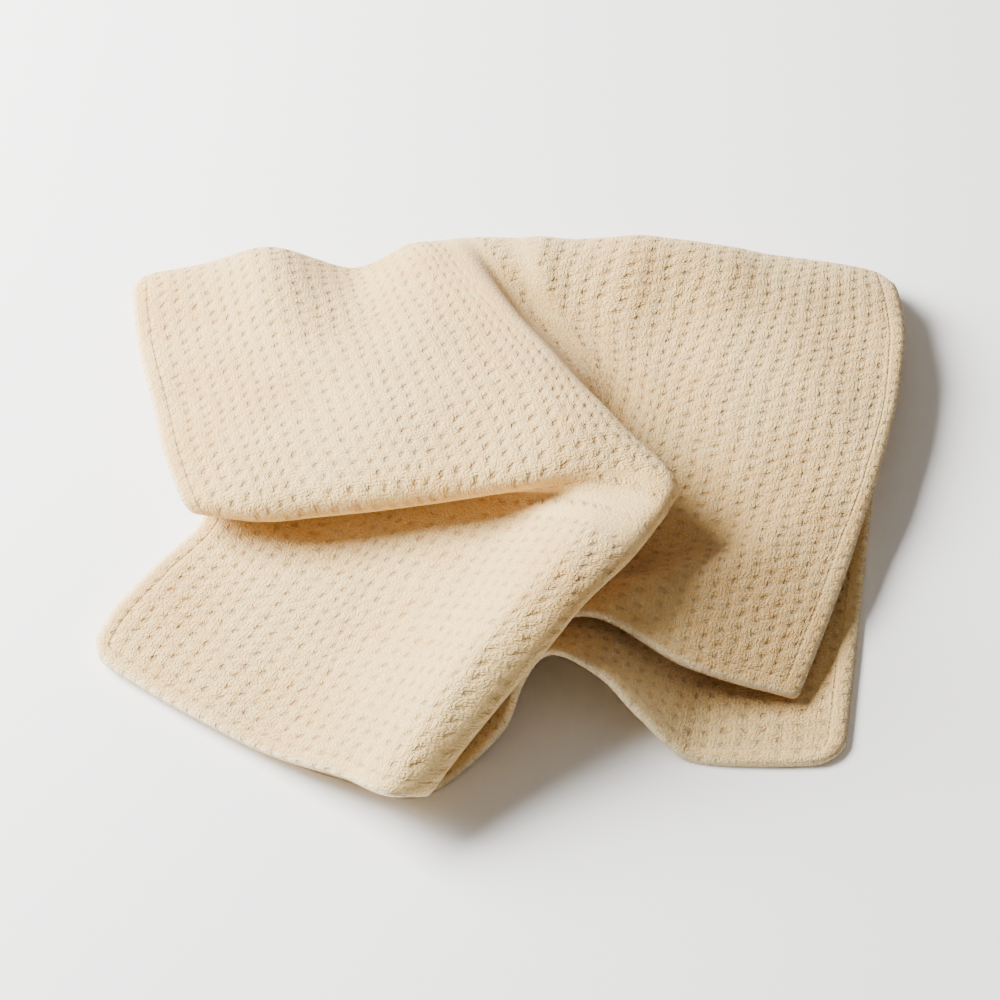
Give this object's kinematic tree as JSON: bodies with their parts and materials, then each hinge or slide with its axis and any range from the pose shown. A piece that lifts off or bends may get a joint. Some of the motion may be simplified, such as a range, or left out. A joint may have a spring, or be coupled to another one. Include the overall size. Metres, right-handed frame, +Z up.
{
  "type": "bar towel",
  "caption": "Bar towel of coarse square-weave natural cotton, folded in half and dropped in a loose ridge and tuck, with narrow plain hems.",
  "frame": {"origin": "centre of the bounding box's base, on the surface that the towel lies on", "axes": "+Z up, +X to the right along the back fold, +Y to the back fold, away from the open hems"},
  "size_m": [0.3524, 0.3328, 0.0564],
  "materials": {
    "cotton": "matte coarse weave"
  },
  "bodies": {
    "root": {"towel": "cotton"}
  },
  "joints": []
}
